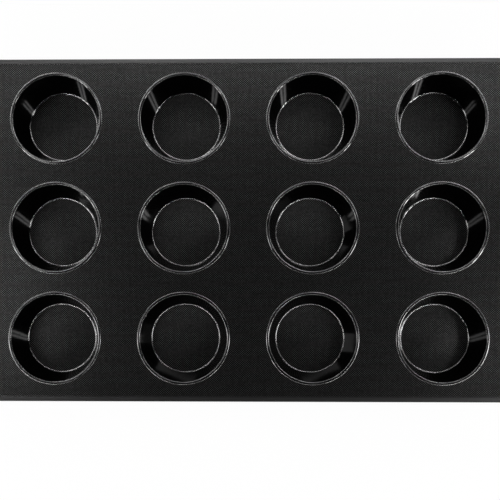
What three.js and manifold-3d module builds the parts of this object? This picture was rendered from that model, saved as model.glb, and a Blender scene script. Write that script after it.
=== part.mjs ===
// Silicone baking mould: a coated glass-cloth sheet that carries a grid of round, tapered cups.
// Each cup is a moulded silicone ring, gripping the edge of a hole in the sheet with a lip above
// and a flange below, and closed at its foot by a disc of the same cloth. A silicone hem binds
// the sheet's cut edge. Millimetres, +Z up, x = y = 0 at the middle, z = 0 under the cups' floors.
import * as THREE from "three";
import { mergeVertices } from "three/addons/utils/BufferGeometryUtils.js";
import Module from "manifold-3d";

const wasm = await Module();
wasm.setup();

// Grid of cups, the flat cloth between two flanges, and the flat cloth from a flange to the hem
const columnCount = 4;
const rowCount = 3;
const columnLand = 36;
const rowLand = 14.5;
const endLand = 9;
const backLand = 3.5;
const frontLand = 7.5;

// Cloth
const sheetThickness = 1;
const floorThickness = 1;

// Cup: the inside depth, the inside radius at the sheet's top and where the wall's line meets the
// floor, and the wall's thickness measured level
const cupDepth = 30;
const mouthRadius = 50.6;
const baseRadius = 41.1;
const wallThickness = 1.25;

// Rounded inside corner, its thin edge on the floor, and the rim round the floor's side
const coveRadius = 2;
const coveEdge = 0.5;
const footRim = 0.9;

// Lip that lies on the sheet, and flange under it
const lipOverlap = 1.9;
const lipHeight = 0.9;
const flangeOverlap = 4.9;
const flangeThickness = 0.8;

// Hem: its width on each face, its two skins, the web outside the cloth's edge and its corners
const hemWidth = 9;
const hemSkin = 0.5;
const hemWeb = 1;
const hemChamfer = 0.2;
const cornerRadius = 4;

// Clearances: the bond film between two faces, and the room beside a cut edge of cloth
const bondGap = 0.2;
const edgeGap = 0.25;

// Least corner radius where an inset would leave none
const leastCorner = 0.5;

// Facets
const ringSegments = 28;
const cornerSegments = 4;
const crownSegments = 3;
const coveSegments = 2;

// Levels
const floorTop = floorThickness;
const coveLevel = floorTop + coveEdge;
const sheetTop = floorTop + cupDepth;
const sheetUnder = sheetTop - sheetThickness;
const lipSeat = sheetTop + bondGap;
const flangeTop = sheetUnder - bondGap;
const flangeUnder = flangeTop - flangeThickness;

// Wall: its lean from the upright, and its two faces at a level
const wallLean = Math.atan((mouthRadius - baseRadius) / (sheetTop - coveLevel));
const innerRadiusAt = (z) => baseRadius + (z - coveLevel) * Math.tan(wallLean);
const outerRadiusAt = (z) => innerRadiusAt(z) + wallThickness;

// Radii that follow from the wall
const neckRadius = outerRadiusAt(sheetTop);
const holeRadius = neckRadius + edgeGap;
const lipRadius = holeRadius + lipOverlap;
const flangeRadius = holeRadius + flangeOverlap;
const floorEdgeRadius = baseRadius - coveRadius * Math.tan((Math.PI / 2 - wallLean) / 2);
const footRadius = outerRadiusAt(0);
const rebateRadius = footRadius - footRim;
const discRadius = rebateRadius - edgeGap;

// Grid pitch, the whole mould measured over the hem, and the grid's middle in it
const columnPitch = 2 * flangeRadius + columnLand;
const rowPitch = 2 * flangeRadius + rowLand;
const rimMargin = flangeRadius + hemWidth;
const mouldLength = (columnCount - 1) * columnPitch + 2 * (rimMargin + endLand);
const mouldWidth = (rowCount - 1) * rowPitch + 2 * rimMargin + backLand + frontLand;
const gridMiddleY = (frontLand - backLand) / 2;

// Cloth outline inside the hem
const clothInset = hemWeb + edgeGap;
const clothLength = mouldLength - 2 * clothInset;
const clothWidth = mouldWidth - 2 * clothInset;
const clothCorner = Math.max(cornerRadius - clothInset, leastCorner);

// Finishes
const coatedCloth = new THREE.MeshStandardMaterial({ color: 0x1c1c1d, roughness: 0.6, metalness: 0 });
const glossySilicone = new THREE.MeshStandardMaterial({ color: 0x08080a, roughness: 0.18, metalness: 0 });
const satinSilicone = new THREE.MeshStandardMaterial({ color: 0x141415, roughness: 0.42, metalness: 0 });

// Every cup's label and centre, row 1 at the back and column 1 at the left
function cupPlaces() {
  const places = [];
  for (let row = 0; row < rowCount; row += 1) {
    for (let column = 0; column < columnCount; column += 1) {
      places.push({
        label: `r${row + 1}c${column + 1}`,
        x: (column - (columnCount - 1) / 2) * columnPitch,
        y: gridMiddleY + ((rowCount - 1) / 2 - row) * rowPitch,
      });
    }
  }
  return places;
}

// Points along an arc of an ellipse, both ends included
function arcPoints([x, y], [radiusX, radiusY], from, to, segments) {
  const points = [];
  for (let step = 0; step <= segments; step += 1) {
    const angle = from + ((to - from) * step) / segments;
    points.push([x + radiusX * Math.cos(angle), y + radiusY * Math.sin(angle)]);
  }
  return points;
}

// Whole circle, whose last point isn't the first again
function circle(x, y, radius) {
  return arcPoints([x, y], [radius, radius], 0, 2 * Math.PI, ringSegments).slice(1);
}

// Rectangle with round corners, about the origin
function roundedRectangle(length, width, radius) {
  const x = length / 2 - radius;
  const y = width / 2 - radius;
  const corners = [[x, y], [-x, y], [-x, -y], [x, -y]];
  return corners.flatMap((corner, index) => {
    const from = (index * Math.PI) / 2;
    return arcPoints(corner, [radius, radius], from, from + Math.PI / 2, cornerSegments);
  });
}

const toVectors = (points) => points.map(([x, y]) => new THREE.Vector2(x, y));

// Flat piece with holes between two levels, its edges chamfered inside the outline
function slab(outline, holes, bottom, top, chamfer = 0) {
  const shape = new THREE.Shape(toVectors(outline));
  shape.holes = holes.map((hole) => new THREE.Path(toVectors(hole)));
  const geometry = new THREE.ExtrudeGeometry(shape, {
    depth: top - bottom - 2 * chamfer,
    bevelEnabled: chamfer > 0,
    bevelThickness: chamfer,
    bevelSize: chamfer,
    bevelOffset: -chamfer,
    bevelSegments: 1,
  });
  return geometry.translate(0, 0, bottom + chamfer);
}

// Ring or disc turned about +Z from (radius, height) points
function revolve(profile) {
  return new THREE.LatheGeometry(toVectors(profile), ringSegments).rotateX(Math.PI / 2);
}

// Closed solid for the boolean cuts
function toSolid(geometry) {
  const bare = geometry.clone();
  bare.deleteAttribute("normal");
  bare.deleteAttribute("uv");
  const merged = mergeVertices(bare);
  return new wasm.Manifold(
    new wasm.Mesh({
      numProp: 3,
      vertProperties: new Float32Array(merged.attributes.position.array),
      triVerts: new Uint32Array(merged.index.array),
    }),
  );
}

function toGeometry(solid) {
  const { vertProperties, triVerts } = solid.getMesh();
  const geometry = new THREE.BufferGeometry();
  geometry.setAttribute("position", new THREE.BufferAttribute(vertProperties, 3));
  geometry.setIndex(new THREE.BufferAttribute(triVerts, 1));
  geometry.computeVertexNormals();
  return geometry;
}

// Sheet of coated cloth with one round hole for each cup
function baseSheet() {
  const outline = roundedRectangle(clothLength, clothWidth, clothCorner);
  const holes = cupPlaces().map(({ x, y }) => circle(x, y, holeRadius));
  return slab(outline, holes, sheetUnder, sheetTop);
}

// Hem: a flat frame of U section, slotted for the sheet's edge
function edgeHem() {
  const slotUnder = sheetUnder - bondGap;
  const slotTop = sheetTop + bondGap;
  const outline = roundedRectangle(mouldLength, mouldWidth, cornerRadius);
  const window = roundedRectangle(mouldLength - 2 * hemWidth, mouldWidth - 2 * hemWidth, leastCorner);
  const frame = slab(outline, [window], slotUnder - hemSkin, slotTop + hemSkin, hemChamfer);
  const room = 2 * edgeGap;
  const pocket = roundedRectangle(clothLength + room, clothWidth + room, clothCorner + edgeGap);
  const slot = slab(pocket, [], slotUnder, slotTop);
  return toGeometry(toSolid(frame).subtract(toSolid(slot)));
}

// Cup wall: over the lip's crown, down the inside to the cove, round the rebate that takes the
// floor, up the outside, and round the flange and the neck that passes through the sheet
function cupWall() {
  const crownInner = innerRadiusAt(lipSeat);
  const crownMiddle = [(lipRadius + crownInner) / 2, lipSeat];
  const crownRadii = [(lipRadius - crownInner) / 2, lipHeight];
  const crown = arcPoints(crownMiddle, crownRadii, 0, Math.PI, crownSegments);
  const coveMiddle = [floorEdgeRadius, coveLevel + coveRadius];
  const cove = arcPoints(coveMiddle, [coveRadius, coveRadius], -wallLean, -Math.PI / 2, coveSegments);
  const profile = [
    ...crown,
    ...cove,
    [floorEdgeRadius, floorTop + bondGap],
    [rebateRadius, floorTop + bondGap],
    [rebateRadius, 0],
    [footRadius, 0],
    [outerRadiusAt(flangeUnder), flangeUnder],
    [flangeRadius, flangeUnder],
    [flangeRadius, flangeTop],
    [neckRadius, flangeTop],
    [neckRadius, lipSeat],
  ];
  return revolve([...profile, profile[0]]);
}

// Floor: a disc of coated cloth, flush with the foot of the wall
function cupFloor() {
  return revolve([
    [0, 0],
    [discRadius, 0],
    [discRadius, floorTop],
    [0, floorTop],
  ]);
}

const mould = new THREE.Group();
mould.name = "silicone_baking_mould";

function place(name, geometry, material, x = 0, y = 0) {
  const mesh = new THREE.Mesh(geometry, material);
  mesh.name = name;
  mesh.position.set(x, y, 0);
  mould.add(mesh);
}

place("base_sheet", baseSheet(), coatedCloth);
place("edge_hem", edgeHem(), satinSilicone);

const wallGeometry = cupWall();
const floorGeometry = cupFloor();
for (const { label, x, y } of cupPlaces()) {
  place(`cup_wall_${label}`, wallGeometry, glossySilicone, x, y);
  place(`cup_floor_${label}`, floorGeometry, coatedCloth, x, y);
}

export default mould;
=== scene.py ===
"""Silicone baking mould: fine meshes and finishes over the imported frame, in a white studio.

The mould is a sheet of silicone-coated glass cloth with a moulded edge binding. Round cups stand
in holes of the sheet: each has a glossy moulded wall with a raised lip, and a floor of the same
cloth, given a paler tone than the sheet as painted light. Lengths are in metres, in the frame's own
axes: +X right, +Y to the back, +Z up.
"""

import logging
import math
from collections.abc import Callable, Sequence
from dataclasses import dataclass, field
from enum import Enum
from functools import partial
from typing import Any

import bmesh
import bpy
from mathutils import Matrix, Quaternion, Vector


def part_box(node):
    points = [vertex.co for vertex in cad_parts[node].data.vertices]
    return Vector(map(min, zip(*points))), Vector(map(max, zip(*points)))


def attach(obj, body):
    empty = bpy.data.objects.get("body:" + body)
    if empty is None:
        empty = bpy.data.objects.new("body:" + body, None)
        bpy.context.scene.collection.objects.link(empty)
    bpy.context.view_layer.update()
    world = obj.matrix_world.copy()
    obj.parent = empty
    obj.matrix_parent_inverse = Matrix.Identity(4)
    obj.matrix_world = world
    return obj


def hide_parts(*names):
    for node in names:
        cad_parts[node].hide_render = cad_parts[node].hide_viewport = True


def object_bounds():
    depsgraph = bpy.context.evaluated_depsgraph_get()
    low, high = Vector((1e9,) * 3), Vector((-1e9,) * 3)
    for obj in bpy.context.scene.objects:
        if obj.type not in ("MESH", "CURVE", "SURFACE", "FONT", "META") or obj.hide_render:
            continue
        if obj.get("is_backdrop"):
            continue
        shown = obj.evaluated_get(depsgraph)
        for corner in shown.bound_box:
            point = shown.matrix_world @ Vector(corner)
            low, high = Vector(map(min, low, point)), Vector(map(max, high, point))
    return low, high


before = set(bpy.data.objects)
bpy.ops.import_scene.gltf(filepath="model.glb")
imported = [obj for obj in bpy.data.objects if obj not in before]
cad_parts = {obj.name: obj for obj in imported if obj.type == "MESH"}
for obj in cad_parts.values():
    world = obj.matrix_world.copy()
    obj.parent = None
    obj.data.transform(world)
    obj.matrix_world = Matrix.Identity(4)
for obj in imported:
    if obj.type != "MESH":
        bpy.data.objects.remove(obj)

MM = 0.001

# Points of a turned or lofted skin that lie closer than this are one point
MERGE_DISTANCE = 0.0001 * MM

log = logging.getLogger("baking_mould")

Point = tuple[float, float]
Colour = tuple[float, float, float, float]


class Slot(Enum):
    """Material slots of the record."""

    CLOTH = "coated_cloth"
    MOULDED = "moulded_silicone"
    HEM = "hem_silicone"


class Ray(Enum):
    """Kinds of ray that are shown the studio's background, as the Light Path node names them."""

    CAMERA = "Is Camera Ray"
    GLOSSY = "Is Glossy Ray"
    TRANSMISSION = "Is Transmission Ray"


class Reach(Enum):
    """Which pieces a light falls on, by the state that light linking gives the cups' floors."""

    ALL = ""
    ALL_BUT_FLOORS = "EXCLUDE"
    FLOORS = "INCLUDE"


def grey(level: float) -> Colour:
    """An opaque neutral colour."""
    return (level, level, level, 1.0)


class Value:
    """A shader number that takes part in Python arithmetic."""

    def __init__(self, shader: "Shader", socket: bpy.types.NodeSocket) -> None:
        """Keeps the socket with the shader that owns it."""
        self.shader = shader
        self.socket = socket

    def _math(self, operation: str, first: Any, second: Any = 0.0) -> "Value":
        """Adds one Math node, whose operands are Values or numbers."""
        return self.shader.value("ShaderNodeMath", {"operation": operation}, {0: first, 1: second})

    def __add__(self, other: Any) -> "Value":
        """Self plus other."""
        return self._math("ADD", self, other)

    def __radd__(self, other: Any) -> "Value":
        """Other plus self."""
        return self._math("ADD", other, self)

    def __sub__(self, other: Any) -> "Value":
        """Self minus other."""
        return self._math("SUBTRACT", self, other)

    def __rsub__(self, other: Any) -> "Value":
        """Other minus self."""
        return self._math("SUBTRACT", other, self)

    def __mul__(self, other: Any) -> "Value":
        """Self times other."""
        return self._math("MULTIPLY", self, other)

    def __rmul__(self, other: Any) -> "Value":
        """Other times self."""
        return self._math("MULTIPLY", other, self)

    def __truediv__(self, other: Any) -> "Value":
        """Self over other."""
        return self._math("DIVIDE", self, other)

    def __abs__(self) -> "Value":
        """Size without sign."""
        return self._math("ABSOLUTE", self)

    def swing(self) -> "Value":
        """A number from 0 to 1, moved to lie evenly on both sides of 0."""
        return self - 0.5

    def floor(self) -> "Value":
        """Next whole number below."""
        return self._math("FLOOR", self)

    def sine(self) -> "Value":
        """Sine of an angle in radians."""
        return self._math("SINE", self)

    def alternate(self) -> "Value":
        """0 on even whole numbers and 1 on odd ones."""
        return self._math("PINGPONG", self, 1.0)

    def at_most(self, limit: Any) -> "Value":
        """The lesser of self and the limit."""
        return self._math("MINIMUM", self, limit)


class Shader:
    """A node tree that is filled from Python."""

    def __init__(self, tree: bpy.types.NodeTree) -> None:
        """Starts from an empty tree."""
        self.tree = tree
        tree.nodes.clear()

    def node(
        self,
        kind: str,
        settings: dict[str, Any] | None = None,
        sockets: dict[str | int, Any] | None = None,
    ) -> bpy.types.Node:
        """Adds a node.

        Args:
            kind: the node's type name.
            settings: properties of the node, set before its sockets.
            sockets: a number, colour, socket or Value for each input that isn't left as it is.

        Returns:
            The new node.
        """
        made = self.tree.nodes.new(kind)
        for name, setting in (settings or {}).items():
            setattr(made, name, setting)
        for key, feed in (sockets or {}).items():
            source = feed.socket if isinstance(feed, Value) else feed
            if isinstance(source, bpy.types.NodeSocket):
                self.tree.links.new(source, made.inputs[key])
            else:
                made.inputs[key].default_value = source
        return made

    def value(
        self,
        kind: str,
        settings: dict[str, Any] | None = None,
        sockets: dict[str | int, Any] | None = None,
        output: str | int = 0,
    ) -> Value:
        """Adds a node and returns one of its outputs as a Value."""
        return Value(self, self.node(kind, settings, sockets).outputs[output])

    def place(self) -> bpy.types.NodeSocket:
        """The point's place in its own object's axes."""
        return self.node("ShaderNodeTexCoord").outputs["Object"]

    def noise(self, size: float, detail: float = 2.0, stretch: float = 1.0) -> Value:
        """Soft cloudy noise from 0 to 1.

        Args:
            size: width of one cloud, in metres.
            detail: octaves of finer noise.
            stretch: how many times longer than wide the clouds are, along X.

        Returns:
            The noise.
        """
        squeeze = {0: self.place(), 1: (1.0 / stretch, 1.0, 1.0)}
        place = self.node("ShaderNodeVectorMath", {"operation": "MULTIPLY"}, squeeze).outputs[0]
        sockets = {"Vector": place, "Scale": 1.0 / size, "Detail": detail}
        return self.value("ShaderNodeTexNoise", {"noise_dimensions": "3D"}, sockets)

    def chance(self, column: Value, row: Value) -> Value:
        """A number from 0 to 1 that is the same all over one cell of a grid."""
        cell = self.node("ShaderNodeCombineXYZ", None, {"X": column, "Y": row}).outputs[0]
        return self.value("ShaderNodeTexWhiteNoise", {"noise_dimensions": "2D"}, {"Vector": cell})

    def blend(self, factor: Value, first: Colour, second: Colour) -> bpy.types.NodeSocket:
        """A colour between two, by a factor from 0 to 1."""
        sockets = {0: factor, 6: first, 7: second}
        return self.node("ShaderNodeMix", {"data_type": "RGBA"}, sockets).outputs[2]

    def ease(self, value: Value, inside: Point, outside: Point) -> Value:
        """Carries a value from one range over to another, with soft ends.

        Args:
            value: the value to carry over.
            inside: the two ends of its own range.
            outside: what they become; nothing goes past them.

        Returns:
            The new value.
        """
        limits = (*inside, *outside)
        names = ("From Min", "From Max", "To Min", "To Max")
        sockets = {"Value": value, **dict(zip(names, limits))}
        return self.value("ShaderNodeMapRange", {"interpolation_type": "SMOOTHSTEP"}, sockets)

    def bump(self, height: Value, depth: float) -> bpy.types.NodeSocket:
        """A normal that follows a height from 0 to 1, where 1 stands depth metres proud."""
        return self.node("ShaderNodeBump", None, {"Distance": depth, "Height": height}).outputs[0]

    def seen_by(self, *rays: Ray) -> Value:
        """1 for rays of these kinds, and 0 for the rest."""
        path = self.node("ShaderNodeLightPath")
        return sum(Value(self, path.outputs[ray.value]) for ray in rays).at_most(1.0)

    def principled(self, sockets: dict[str, Any]) -> bpy.types.NodeSocket:
        """A Principled BSDF with these sockets."""
        return self.node("ShaderNodeBsdfPrincipled", None, sockets).outputs[0]

    def mix(
        self, factor: Value, first: bpy.types.NodeSocket, second: bpy.types.NodeSocket
    ) -> bpy.types.NodeSocket:
        """One of two surfaces, or a share of each, by a factor from 0 to 1."""
        return self.node("ShaderNodeMixShader", None, {0: factor, 1: first, 2: second}).outputs[0]

    def finish(self, output: str, shader: bpy.types.NodeSocket) -> None:
        """Ends the tree in its output node."""
        self.node(output, None, {"Surface": shader})


def make_material(name: str, surface: Callable[[Shader], bpy.types.NodeSocket]) -> bpy.types.Material:
    """Makes a material.

    Args:
        name: the material's name.
        surface: a function that fills the Shader and returns the surface.

    Returns:
        The material.
    """
    material = bpy.data.materials.new(name)
    material.use_nodes = True
    shader = Shader(material.node_tree)
    shader.finish("ShaderNodeOutputMaterial", surface(shader))
    return material


@dataclass(frozen=True)
class CoatedCloth:
    """Plain-woven glass cloth, coated with black silicone and shiny on its threads' crowns. Its tone is
    painted light: painted shade in the valleys and on the warp crowns, and paler weft crowns as painted
    sheen.
    """

    name: str = "coated_cloth"
    # crown and valley are the tones of the weft crowns and of the valleys: a paler crown as painted
    # sheen, a near-black valley as painted shade between threads
    crown: float = 0.027
    valley: float = 0.0002
    roughness: float = 0.5
    specular: float = 0.03
    index: float = 1.41
    shine: float = 1.0
    shine_index: float = 2.2
    shine_roughness: float = 0.28
    filmed: bool = False
    film_roughness: float = 0.02
    film_facing: Point = (0.15, 0.2)
    film_share: float = 0.7
    film_index: float = 2.2
    warp_pitch: float = 1.38 * MM
    weft_pitch: float = 1.26 * MM
    warp_share: float = 0.05
    uneven: float = 0.4
    relief: float = 0.004 * MM
    wander: float = 0.35
    wander_size: float = 18 * MM
    slub: float = 0.5
    slub_size: float = 3.5 * MM
    slub_stretch: float = 8.0

    def weave(self, shader: Shader) -> Value:
        """Height of the weave.

        Args:
            shader: the tree that takes the nodes.

        Returns:
            0 in the valleys between threads, about 1 on the crowns of the weft.
        """
        parts = shader.node("ShaderNodeSeparateXYZ", None, {0: shader.place()})
        drift = self.wander * shader.noise(self.wander_size).swing()
        across = Value(shader, parts.outputs["X"]) / self.warp_pitch + drift
        along = Value(shader, parts.outputs["Y"]) / self.weft_pitch + drift
        round_top = abs((across * math.pi).sine() * (along * math.pi).sine())
        column, row = across.floor(), along.floor()
        warp_on_top = (column + row).alternate()
        slub = 1.0 + self.slub * shader.noise(self.slub_size, stretch=self.slub_stretch).swing()
        thread = 1.0 + self.uneven * shader.chance(column, row).swing()
        # Warp crowns stay low, which also gives them the valleys' painted shade in the tone
        return round_top * slub * thread * (1.0 - (1.0 - self.warp_share) * warp_on_top)

    def filmed_over(self, shader: Shader, cloth: bpy.types.NodeSocket) -> bpy.types.NodeSocket:
        """Lays a smooth film over the cloth, whose gloss shows at a slant and not from straight above.

        Args:
            shader: the tree that takes the nodes.
            cloth: the bare cloth's surface.

        Returns:
            The surface with its film.
        """
        facing = shader.value("ShaderNodeLayerWeight", output="Facing")
        weight = shader.ease(facing, self.film_facing, (0.0, self.film_share))
        film = {"Base Color": grey(self.valley), "Roughness": self.film_roughness, "IOR": self.film_index}
        return shader.mix(weight, cloth, shader.principled(film))

    def surface(self, shader: Shader) -> bpy.types.NodeSocket:
        """Threads whose shine and relief follow the weave, and whose tone follows it as painted light:
        painted shade in the valleys and on the warp crowns, painted sheen on the weft crowns.

        Args:
            shader: the tree that takes the nodes.

        Returns:
            The surface, under its film where it has one.
        """
        height = self.weave(shader)
        threads = {
            # Tone by weave height: painted shade in the valleys and on the warp crowns, painted sheen on
            # the weft crowns
            "Base Color": shader.blend(height, grey(self.valley), grey(self.crown)),
            "Roughness": self.roughness,
            "IOR": self.index,
            "Specular IOR Level": self.specular,
            "Coat Weight": self.shine * height,
            "Coat Roughness": self.shine_roughness,
            "Coat IOR": self.shine_index,
            "Normal": shader.bump(height, self.relief),
        }
        cloth = shader.principled(threads)
        return self.filmed_over(shader, cloth) if self.filmed else cloth

    def material(self) -> bpy.types.Material:
        """The cloth's material."""
        return make_material(self.name, self.surface)


@dataclass(frozen=True)
class GlossSilicone:
    """Smooth, glossy moulded silicone, polished below and above two levels of the wall."""

    name: str = "gloss_silicone"
    colour: float = 0.0004
    roughness: float = 0.08
    spread: float = 0.04
    cloud_size: float = 36 * MM
    cloud_detail: float = 4.0
    index: float = 1.42
    coat_roughness: float = 0.08
    coat_index: float = 3.0
    cove_top: float = 2.6 * MM
    lip_foot: float = 30.5 * MM
    lip_polish: float = 0.5
    fade: float = 0.5 * MM
    wave_size: float = 9 * MM
    wave: float = 0.02 * MM

    def coat(self, shader: Shader) -> Value:
        """Weight of the polish.

        Args:
            shader: the tree that takes the nodes.

        Returns:
            1 on the cove, less on the lip, and 0 on the wall between them.
        """
        level = shader.value("ShaderNodeSeparateXYZ", None, {0: shader.place()}, "Z")
        cove_fade = (self.cove_top - self.fade, self.cove_top + self.fade)
        lip_fade = (self.lip_foot - self.fade, self.lip_foot + self.fade)
        cove = shader.ease(level, cove_fade, (1.0, 0.0))
        lip = shader.ease(level, lip_fade, (0.0, self.lip_polish))
        return cove + lip

    def surface(self, shader: Shader) -> bpy.types.NodeSocket:
        """A cloudy gloss over a faint moulded wave.

        Args:
            shader: the tree that takes the nodes.

        Returns:
            The surface.
        """
        clouds = shader.noise(self.cloud_size, self.cloud_detail)
        sockets = {
            "Base Color": grey(self.colour),
            "Roughness": self.roughness + self.spread * clouds,
            "IOR": self.index,
            "Coat Weight": self.coat(shader),
            "Coat Roughness": self.coat_roughness,
            "Coat IOR": self.coat_index,
            "Normal": shader.bump(shader.noise(self.wave_size), self.wave),
        }
        return shader.principled(sockets)

    def material(self) -> bpy.types.Material:
        """The silicone's material."""
        return make_material(self.name, self.surface)


@dataclass(frozen=True)
class SatinSilicone:
    """Satin silicone of the edge binding, with a fine moulded grain, that thins out over the cloth."""

    half: Point
    name: str = "satin_silicone"
    colour: float = 0.012
    mottle: float = 0.2
    roughness: float = 0.28
    spread: float = 0.06
    cloud_size: float = 18 * MM
    index: float = 1.7
    grain_size: float = 0.45 * MM
    grain_detail: float = 3.0
    grain: float = 0.012 * MM
    thinning: Point = (3.5 * MM, 8.0 * MM)

    def cover(self, shader: Shader) -> Value:
        """How far the silicone hides the cloth, from its distance to the nearest outer edge.

        Args:
            shader: the tree that takes the nodes.

        Returns:
            1 at the edge and 0 where the silicone has run out.
        """
        parts = shader.node("ShaderNodeSeparateXYZ", None, {0: shader.place()})
        end, side = (
            limit - abs(Value(shader, parts.outputs[axis])) for limit, axis in zip(self.half, "XY")
        )
        return shader.ease(end.at_most(side), self.thinning, (1.0, 0.0))

    def surface(self, shader: Shader) -> bpy.types.NodeSocket:
        """A grained satin face.

        Args:
            shader: the tree that takes the nodes.

        Returns:
            The surface.
        """
        grain = shader.noise(self.grain_size, self.grain_detail)
        dark, light = (grey((1.0 + turn * self.mottle) * self.colour) for turn in (-1, 1))
        sockets = {
            "Base Color": shader.blend(grain, dark, light),
            "Roughness": self.roughness + self.spread * shader.noise(self.cloud_size),
            "IOR": self.index,
            "Alpha": self.cover(shader),
            "Normal": shader.bump(grain, self.grain),
        }
        return shader.principled(sockets)

    def material(self) -> bpy.types.Material:
        """The binding's material."""
        return make_material(self.name, self.surface)


def arc(
    centre: Point, radius: float, start: float, end: float, steps: int, squash: float = 1.0
) -> list[Point]:
    """Points along an arc, both ends included.

    Args:
        centre: middle of the arc.
        radius: its radius along the first axis.
        start: first angle in degrees, anticlockwise from the first axis.
        end: last angle in degrees.
        steps: number of straight steps.
        squash: radius along the second axis, as a share of the first.

    Returns:
        The points.
    """
    x, y = centre
    angles = [math.radians(start + (end - start) * step / steps) for step in range(steps + 1)]
    return [(x + radius * math.cos(a), y + radius * squash * math.sin(a)) for a in angles]


def rounded_rectangle(length: float, width: float, radius: float, steps: int) -> list[Point]:
    """Outline of a rectangle about the origin, with round corners.

    Args:
        length: size along X.
        width: size along Y.
        radius: the corners' radius.
        steps: straight steps in each corner.

    Returns:
        The outline's points, anticlockwise.
    """
    x, y = length / 2 - radius, width / 2 - radius
    corners = [(x, y), (-x, y), (-x, -y), (x, -y)]
    return [
        point
        for index, corner in enumerate(corners)
        for point in arc(corner, radius, 90.0 * index, 90.0 * (index + 1), steps)
    ]


def piece(
    name: str,
    mesh: bpy.types.Mesh,
    material: bpy.types.Material,
    node: str,
    slot: Slot,
    sharp: float,
    place: Sequence[float] = (0.0, 0.0, 0.0),
) -> bpy.types.Object:
    """Puts a mesh into the scene as a piece of the mould, riding on its one body.

    Args:
        name: the piece's name.
        mesh: its mesh, in its own axes.
        material: its finish.
        node: the CAD node that it stands for.
        slot: the record's material slot; not used.
        sharp: edges that bend more than this many degrees stay sharp.
        place: where its own origin stands.

    Returns:
        The new object.
    """
    mesh.shade_smooth()
    mesh.set_sharp_from_angle(angle=math.radians(sharp))
    if not mesh.materials:
        mesh.materials.append(material)
    made = bpy.data.objects.new(name, mesh)
    made.location = place
    bpy.context.collection.objects.link(made)
    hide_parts(node)
    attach(made, "root")
    log.info("%s stands for %s with %d faces", name, node, len(mesh.polygons))
    return made


def loft(name: str, loops: Sequence[Sequence[Vector]], closed: bool) -> bpy.types.Mesh:
    """Skins closed loops of the same count, one after another.

    Args:
        name: the mesh's name.
        loops: the loops, in order.
        closed: whether the last loop joins the first; otherwise both ends are left open.

    Returns:
        The mesh, facing out.
    """
    mesh = bpy.data.meshes.new(name)
    build = bmesh.new()
    rings = [[build.verts.new(point) for point in loop] for loop in loops]
    pairs = list(zip(rings, rings[1:]))
    if closed:
        pairs.append((rings[-1], rings[0]))
    for first, second in pairs:
        for here in range(len(first)):
            there = (here + 1) % len(first)
            build.faces.new((first[here], first[there], second[there], second[here]))
    bmesh.ops.remove_doubles(build, verts=build.verts, dist=MERGE_DISTANCE)
    bmesh.ops.recalc_face_normals(build, faces=build.faces)
    build.to_mesh(mesh)
    build.free()
    return mesh


def revolve(name: str, profile: Sequence[Point], segments: int, closed: bool) -> bpy.types.Mesh:
    """Turns a (radius, height) profile about the upright axis through the origin.

    Args:
        name: the mesh's name.
        profile: the points; an open profile starts and ends on the axis.
        segments: steps round the axis.
        closed: whether the profile joins its own start.

    Returns:
        The mesh.
    """
    turns = [2 * math.pi * step / segments for step in range(segments)]
    loops = [[Vector((r * math.cos(t), r * math.sin(t), z)) for t in turns] for r, z in profile]
    return loft(name, loops, closed)


@dataclass
class ClothSheet:
    """The flat cloth with a round hole for each cup."""

    material: bpy.types.Material
    holes: Sequence[Vector]
    hole_radius: float = 52.1 * MM
    hole_steps: int = 144
    corner_radius: float = 2.75 * MM
    corner_steps: int = 6
    merge_distance: float = 0.001 * MM
    sharp: float = 30.0
    node: str = "base_sheet"

    def outline(self, low: Vector, high: Vector) -> list[list[Point]]:
        """The sheet's edge and its holes.

        Args:
            low: the sheet's least corner.
            high: its greatest corner.

        Returns:
            The edge and then each hole, as a closed row of points.
        """
        size = high - low
        rows = [rounded_rectangle(size.x, size.y, self.corner_radius, self.corner_steps)]
        for hole in self.holes:
            rows.append(arc((hole.x, hole.y), self.hole_radius, 0.0, 360.0, self.hole_steps)[1:])
        return rows

    def filled(self, low: Vector, high: Vector) -> bpy.types.Mesh:
        """Fills the outline and gives it the cloth's thickness.

        Args:
            low: the sheet's least corner.
            high: its greatest corner.

        Returns:
            The mesh, about the level of the origin, its faces not yet joined.
        """
        curve = bpy.data.curves.new("cloth_outline", "CURVE")
        curve.dimensions = "2D"
        curve.fill_mode = "BOTH"
        curve.extrude = (high.z - low.z) / 2
        for row in self.outline(low, high):
            spline = curve.splines.new("POLY")
            spline.points.add(len(row) - 1)
            for point, (x, y) in zip(spline.points, row):
                point.co = (x, y, 0.0, 1.0)
            spline.use_cyclic_u = True
        drawn = bpy.data.objects.new("cloth_outline", curve)
        bpy.context.collection.objects.link(drawn)
        evaluated = drawn.evaluated_get(bpy.context.evaluated_depsgraph_get())
        mesh = bpy.data.meshes.new_from_object(evaluated)
        bpy.data.objects.remove(drawn)
        mesh.materials.clear()
        return mesh

    def build(self) -> None:
        """Joins the filled outline into one skin at the cloth's level."""
        low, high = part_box(self.node)
        mesh = self.filled(low, high)
        join = bmesh.new()
        join.from_mesh(mesh)
        bmesh.ops.remove_doubles(join, verts=join.verts, dist=self.merge_distance)
        bmesh.ops.recalc_face_normals(join, faces=join.faces)
        bmesh.ops.translate(join, verts=join.verts, vec=(0.0, 0.0, (low.z + high.z) / 2))
        join.to_mesh(mesh)
        join.free()
        piece("cloth_sheet", mesh, self.material, self.node, Slot.CLOTH, self.sharp)


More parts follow.
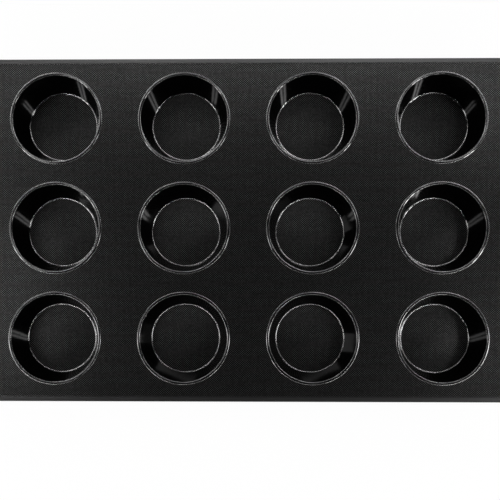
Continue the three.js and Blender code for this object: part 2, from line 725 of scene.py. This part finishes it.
@dataclass
class EdgeHem:
    """The silicone binding that wraps the sheet's cut edge, a U in section."""

    material: bpy.types.Material
    width: float = 9.0 * MM
    web: float = 1.0 * MM
    nose_radius: float = 0.7 * MM
    nose_steps: int = 6
    bond: float = 0.1 * MM
    skin: float = 0.35 * MM
    feather: float = 1.0 * MM
    feather_edge: float = 0.15 * MM
    corner_radius: float = 4.0 * MM
    least_corner: float = 0.5 * MM
    corner_steps: int = 8
    sharp: float = 40.0
    node: str = "edge_hem"
    cloth: str = "base_sheet"

    def section(self) -> list[Point]:
        """The closed U section.

        Returns:
            Its points, as distance in from the edge and level.
        """
        cloth_low, cloth_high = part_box(self.cloth)
        under, top = cloth_low.z - self.skin, cloth_high.z + self.skin
        nose, taper = self.nose_radius, self.width - self.feather
        return [
            *arc((nose, top - nose), nose, 180.0, 90.0, self.nose_steps),
            (self.width / 2, top),
            (taper, top),
            (self.width, cloth_high.z + self.feather_edge),
            (self.width, cloth_high.z + self.bond),
            (self.web, cloth_high.z + self.bond),
            (self.web, cloth_low.z - self.bond),
            (self.width, cloth_low.z - self.bond),
            (self.width, cloth_low.z - self.feather_edge),
            (taper, under),
            (self.width / 2, under),
            *arc((nose, under + nose), nose, 270.0, 180.0, self.nose_steps),
        ]

    def build(self) -> None:
        """Runs the section round the sheet's edge."""
        low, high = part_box(self.node)
        length, width = high.x - low.x, high.y - low.y
        loops = []
        for inset, level in self.section():
            radius = max(self.corner_radius - inset, self.least_corner)
            edge = rounded_rectangle(length - 2 * inset, width - 2 * inset, radius, self.corner_steps)
            loops.append([Vector((x, y, level)) for x, y in edge])
        mesh = loft("edge_binding", loops, closed=True)
        piece("edge_binding", mesh, self.material, self.node, Slot.HEM, self.sharp)


@dataclass
class Cup:
    """One cup: a moulded wall with its lip and flange, and a cloth floor."""

    wall_material: bpy.types.Material
    floor_material: bpy.types.Material
    label: str
    mouth_radius: float = 50.6 * MM
    base_radius: float = 41.1 * MM
    wall: float = 1.25 * MM
    wall_loops: tuple[float, ...] = (0.02, 0.2, 0.5, 0.8, 0.98)
    lip_radius: float = 54.1 * MM
    lip_seat: float = 0.15 * MM
    lip_steps: int = 24
    cove_radius: float = 1.0 * MM
    cove_edge: float = 0.4 * MM
    cove_steps: int = 10
    ring_radius: float = 0.15 * MM
    ring_steps: int = 4
    flange: float = 0.8 * MM
    flange_edge: float = 0.3 * MM
    floor_edge: float = 0.2 * MM
    edge_steps: int = 3
    segments: int = 144
    sharp: float = 50.0
    meshes: dict[str, bpy.types.Mesh] = field(default_factory=dict)

    @property
    def wall_node(self) -> str:
        """The CAD node of the wall."""
        return f"cup_wall_{self.label}"

    @property
    def floor_node(self) -> str:
        """The CAD node of the floor."""
        return f"cup_floor_{self.label}"

    def centre(self) -> Vector:
        """The cup's axis, on the level of the frame's origin."""
        low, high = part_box(self.wall_node)
        return Vector(((low.x + high.x) / 2, (low.y + high.y) / 2, 0.0))

    def lean(self, mouth_level: float, cove_level: float) -> float:
        """How far the wall leans out from the upright, in radians."""
        return math.atan((self.mouth_radius - self.base_radius) / (mouth_level - cove_level))

    def wall_profile(self) -> list[Point]:
        """The wall's closed section: lip, inside, cove, ring line, foot, outside, flange and neck.

        Returns:
            Its points, as radius and level.
        """
        low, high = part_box(self.wall_node)
        sheet_low, sheet_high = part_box("base_sheet")
        floor_low, floor_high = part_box(self.floor_node)
        cove_level = floor_high.z + self.cove_edge
        lean = self.lean(sheet_high.z, cove_level)
        slope = math.tan(lean)
        tilt = math.degrees(lean)

        def inside(level: float) -> float:
            """Inside radius of the plain wall."""
            return self.base_radius + (level - cove_level) * slope

        seat = sheet_high.z + self.lip_seat
        lip_middle = (self.lip_radius + inside(seat)) / 2
        lip_half = (self.lip_radius - inside(seat)) / 2
        lip_squash = (high.z - seat) / lip_half
        cove, ring, edge = self.cove_radius, self.ring_radius, self.flange_edge
        floor_edge = self.base_radius - cove * math.tan((math.pi / 2 - lean) / 2)
        wall_foot = cove_level + cove * (1.0 - math.sin(lean))
        levels = [seat + (wall_foot - seat) * share for share in self.wall_loops]
        flange_radius = (high.x - low.x) / 2
        flange_low = sheet_low.z - self.flange
        neck = inside(sheet_high.z) + self.wall
        disc = (floor_high.x - floor_low.x) / 2
        return [
            (self.lip_radius, sheet_high.z),
            *arc((lip_middle, seat), lip_half, 0.0, 180.0 - tilt, self.lip_steps, lip_squash),
            *[(inside(level), level) for level in levels],
            *arc((floor_edge, cove_level + cove), cove, -tilt, -90.0, self.cove_steps),
            *arc((floor_edge, cove_level - ring), ring, 90.0, 180.0, self.ring_steps),
            (floor_edge - ring, floor_high.z),
            (disc, floor_high.z),
            (disc, 0.0),
            (inside(0.0) + self.wall, 0.0),
            (inside(flange_low) + self.wall, flange_low),
            *arc((flange_radius - edge, flange_low + edge), edge, -90.0, 0.0, self.edge_steps),
            (flange_radius, sheet_low.z),
            (neck, sheet_low.z),
            (neck, sheet_high.z),
        ]

    def floor_profile(self) -> list[Point]:
        """The floor's section, with softened edges.

        Returns:
            Its points, as radius and level.
        """
        low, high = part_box(self.floor_node)
        radius, soft = (high.x - low.x) / 2, self.floor_edge
        return [
            (0.0, low.z),
            *arc((radius - soft, low.z + soft), soft, -90.0, 0.0, self.edge_steps),
            *arc((radius - soft, high.z - soft), soft, 0.0, 90.0, self.edge_steps),
            (0.0, high.z),
        ]

    def build(self) -> bpy.types.Object:
        """Makes the wall and the floor at the cup's place.

        Returns:
            The floor, on which some lights don't fall.
        """
        if not self.meshes:
            self.meshes["wall"] = revolve("cup_wall", self.wall_profile(), self.segments, closed=True)
            self.meshes["floor"] = revolve("cup_floor", self.floor_profile(), self.segments, closed=False)
        wall = (self.meshes["wall"], self.wall_material, self.wall_node, Slot.MOULDED)
        floor = (self.meshes["floor"], self.floor_material, self.floor_node, Slot.CLOTH)
        piece(f"wall_{self.label}", *wall, self.sharp, self.centre())
        return piece(f"floor_{self.label}", *floor, self.sharp, self.centre())


@dataclass(frozen=True)
class Softbox:
    """A rectangular studio light, aimed at the mould.

    Azimuth 0 is the right-hand side and 90 the back. Angles are in degrees and power is in watts.
    """

    name: str
    azimuth: float
    elevation: float
    distance: float
    width: float
    height: float
    power: float
    roll: float = 0.0
    reach: Reach = Reach.ALL

    def build(self, aim: Vector) -> None:
        """Hangs the light.

        Args:
            aim: the point that it faces.
        """
        turn, rise = math.radians(self.azimuth), math.radians(self.elevation)
        way = Vector((math.cos(turn) * math.cos(rise), math.sin(turn) * math.cos(rise), math.sin(rise)))
        light = bpy.data.lights.new(self.name, "AREA")
        light.shape = "RECTANGLE"
        light.size, light.size_y = self.width, self.height
        light.energy = self.power
        lamp = bpy.data.objects.new(self.name, light)
        lamp.location = aim + way * self.distance
        roll = Quaternion((0.0, 0.0, 1.0), math.radians(self.roll))
        lamp.rotation_euler = ((-way).to_track_quat("-Z", "Y") @ roll).to_euler()
        lamp.visible_camera = False
        bpy.context.collection.objects.link(lamp)


@dataclass(frozen=True)
class Window:
    """Two tall panes side by side, rolled over in their own plane."""

    name: str
    azimuth: float
    elevation: float
    height: float
    power: float
    roll: float
    distance: float = 3.0
    pane_width: float = 0.18
    half_spacing: float = 4.2

    def softboxes(self) -> list[Softbox]:
        """Sets the panes off to either side in azimuth.

        Returns:
            One light for each pane.
        """
        pane = (self.elevation, self.distance, self.pane_width, self.height, self.power, self.roll)
        sides = (self.azimuth - self.half_spacing, self.azimuth + self.half_spacing)
        return [Softbox(f"{self.name}_{index}", side, *pane) for index, side in enumerate(sides)]


@dataclass(frozen=True)
class SoftboxRing:
    """Low lights all round the mould, at its sides and corners by turns."""

    name: str
    elevation: float
    height: float
    side_power: float
    corner_power: float
    gain: float = 1.0
    front_gain: float = 0.0
    distance: float = 1.3
    width: float = 1.0
    count: int = 8

    def softboxes(self) -> list[Softbox]:
        """Spaces the lights out, with more power in front than behind where the ring has a front gain.

        Returns:
            The lights, from the right-hand side and anticlockwise.
        """
        place = (self.elevation, self.distance, self.width, self.height)
        boxes = []
        for turn in range(self.count):
            azimuth = 360.0 * turn / self.count
            power = self.corner_power if turn % 2 else self.side_power
            power *= self.gain - self.front_gain * math.sin(math.radians(azimuth))
            boxes.append(Softbox(f"{self.name}_{turn}", azimuth, *place, power))
        return boxes


def studio_lights() -> list[Softbox]:
    """Two windows, high lights, lights behind, a light for the cups' floors and two rings of low lights.

    Returns:
        The lights.
    """
    high = partial(Softbox, elevation=60.0, distance=3.0, width=1.0, height=0.6)
    back = partial(Softbox, distance=2.0, width=1.2, height=0.2, reach=Reach.ALL_BUT_FLOORS)
    cups = partial(Softbox, distance=2.0, width=1.2, height=0.4, reach=Reach.FLOORS)
    groups = [
        Window("left_pane", azimuth=190.0, elevation=39.0, height=1.4, power=5.2, roll=24.0),
        Window("right_pane", azimuth=-12.0, elevation=40.0, height=1.5, power=9.5, roll=-24.0),
        SoftboxRing(
            "thin_softbox",
            elevation=20.5,
            height=0.1,
            side_power=1.8,
            corner_power=4.2,
            gain=1.1,
            front_gain=0.3,
        ),
        SoftboxRing("low_softbox", elevation=7.0, height=0.25, side_power=0.5, corner_power=1.0),
    ]
    return [
        high("high_left_softbox", azimuth=177.0, power=3.5),
        high("high_right_softbox", azimuth=-14.0, power=0.6),
        back("back_softbox", azimuth=90.0, elevation=56.5, power=2.7),
        back("back_left_softbox", azimuth=130.0, elevation=51.0, power=2.1),
        back("back_right_softbox", azimuth=50.0, elevation=51.0, power=2.5),
        cups("cup_softbox", azimuth=90.0, elevation=69.0, power=2.2),
        *(softbox for group in groups for softbox in group.softboxes()),
    ]


@dataclass
class Studio:
    """Camera, lights, background and floor."""

    eye: Vector = field(default_factory=lambda: Vector((-4.5, -121.7, 701.3)) * MM)
    turn_degrees: tuple[float, float, float] = (0.907, 0.64, 0.104)
    lens: float = 41.625
    sensor: float = 36.0
    shift: Point = (0.0248, 0.15)
    floor_size: float = 14.0
    floor_drop: float = 0.1 * MM
    floor_colour: float = 0.86
    floor_glow: float = 0.96
    ambient: float = 0.12
    overhead: float = 0.005
    horizon_rise: Point = (0.05, 0.2)
    softboxes: list[Softbox] = field(default_factory=studio_lights)

    def camera(self) -> None:
        """Sets the camera to the photograph's view, with the shift of its crop."""
        data = bpy.data.cameras.new("camera")
        data.sensor_width = self.sensor
        data.lens = self.lens
        data.shift_x, data.shift_y = self.shift
        camera = bpy.data.objects.new("camera", data)
        camera.location = self.eye
        camera.rotation_euler = [math.radians(angle) for angle in self.turn_degrees]
        bpy.context.collection.objects.link(camera)
        bpy.context.scene.camera = camera

    def lights(self) -> None:
        """Hangs the softboxes round the mould's middle."""
        low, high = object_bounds()
        for softbox in self.softboxes:
            softbox.build((low + high) / 2)

    def link_floors(self, floors: Sequence[bpy.types.Object]) -> None:
        """Keeps some lights off the cups' floors, and another light to them.

        Args:
            floors: the floors of all cups.
        """
        for reach in (Reach.ALL_BUT_FLOORS, Reach.FLOORS):
            linked = bpy.data.collections.new(reach.name.lower())
            for floor in floors:
                linked.objects.link(floor)
            for member in linked.collection_objects:
                member.light_linking.link_state = reach.value
            for softbox in self.softboxes:
                if softbox.reach is reach:
                    bpy.data.objects[softbox.name].light_linking.receiver_collection = linked

    def world(self) -> None:
        """A white background, whose mirror image is dark overhead, over an even ambient."""
        world = bpy.data.worlds.new("studio")
        bpy.context.scene.world = world
        world.use_nodes = True
        shader = Shader(world.node_tree)
        way = shader.node("ShaderNodeTexCoord").outputs["Generated"]
        rise = shader.value("ShaderNodeSeparateXYZ", None, {0: way}, "Z")
        mirrored = shader.ease(rise, self.horizon_rise, (1.0, self.overhead))
        level = (mirrored + shader.seen_by(Ray.CAMERA)).at_most(1.0)
        shown = shader.node("ShaderNodeBackground", None, {"Color": grey(1.0), "Strength": level})
        lit = shader.node("ShaderNodeBackground", None, {"Color": grey(1.0), "Strength": self.ambient})
        light = shader.mix(shader.seen_by(*Ray), lit.outputs[0], shown.outputs[0])
        shader.finish("ShaderNodeOutputWorld", light)

    def floor_surface(self, shader: Shader) -> bpy.types.NodeSocket:
        """Matt and pale where it lights and takes the shadow, nearly white where it is seen.

        Args:
            shader: the tree that takes the nodes.

        Returns:
            The surface.
        """
        matt = shader.node("ShaderNodeBsdfDiffuse", None, {"Color": grey(self.floor_colour)})
        glow = shader.node("ShaderNodeEmission", None, {"Color": grey(1.0), "Strength": 1.0})
        return shader.mix(self.floor_glow * shader.seen_by(*Ray), matt.outputs[0], glow.outputs[0])

    def floor(self) -> None:
        """A pale floor just under the cups."""
        half = self.floor_size / 2
        corners = [(-half, -half, 0.0), (half, -half, 0.0), (half, half, 0.0), (-half, half, 0.0)]
        mesh = bpy.data.meshes.new("floor")
        mesh.from_pydata(corners, [], [(0, 1, 2, 3)])
        mesh.materials.append(make_material("pale_floor", self.floor_surface))
        floor = bpy.data.objects.new("floor", mesh)
        floor.location.z = -self.floor_drop
        bpy.context.collection.objects.link(floor)
        floor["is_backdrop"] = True

    def build(self) -> None:
        """Sets the studio up."""
        bpy.context.scene.view_settings.view_transform = "Standard"
        self.camera()
        self.lights()
        self.world()
        self.floor()


def cup_labels() -> list[str]:
    """The cups' labels, from the frame's nodes."""
    prefix = "cup_wall_"
    return sorted(name.removeprefix(prefix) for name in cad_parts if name.startswith(prefix))


def main() -> None:
    """Builds the studio and the mould."""
    logging.basicConfig(level=logging.INFO, format="%(name)s: %(message)s")
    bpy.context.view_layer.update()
    studio = Studio()
    studio.build()
    cloth = CoatedCloth().material()
    # The cups' floors are the sheet's cloth with a paler crown tone: painted light that makes up for the
    # light the wells keep off
    floor_cloth = CoatedCloth("floor_cloth", crown=0.074, shine_roughness=0.4, filmed=True).material()
    gloss = GlossSilicone().material()
    hem_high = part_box("edge_hem")[1]
    satin = SatinSilicone((hem_high.x, hem_high.y)).material()
    shared: dict[str, bpy.types.Mesh] = {}
    cups = [Cup(gloss, floor_cloth, label, meshes=shared) for label in cup_labels()]
    ClothSheet(cloth, [cup.centre() for cup in cups]).build()
    EdgeHem(satin).build()
    studio.link_floors([cup.build() for cup in cups])
    bpy.context.view_layer.update()


if __name__ == "__main__":
    main()
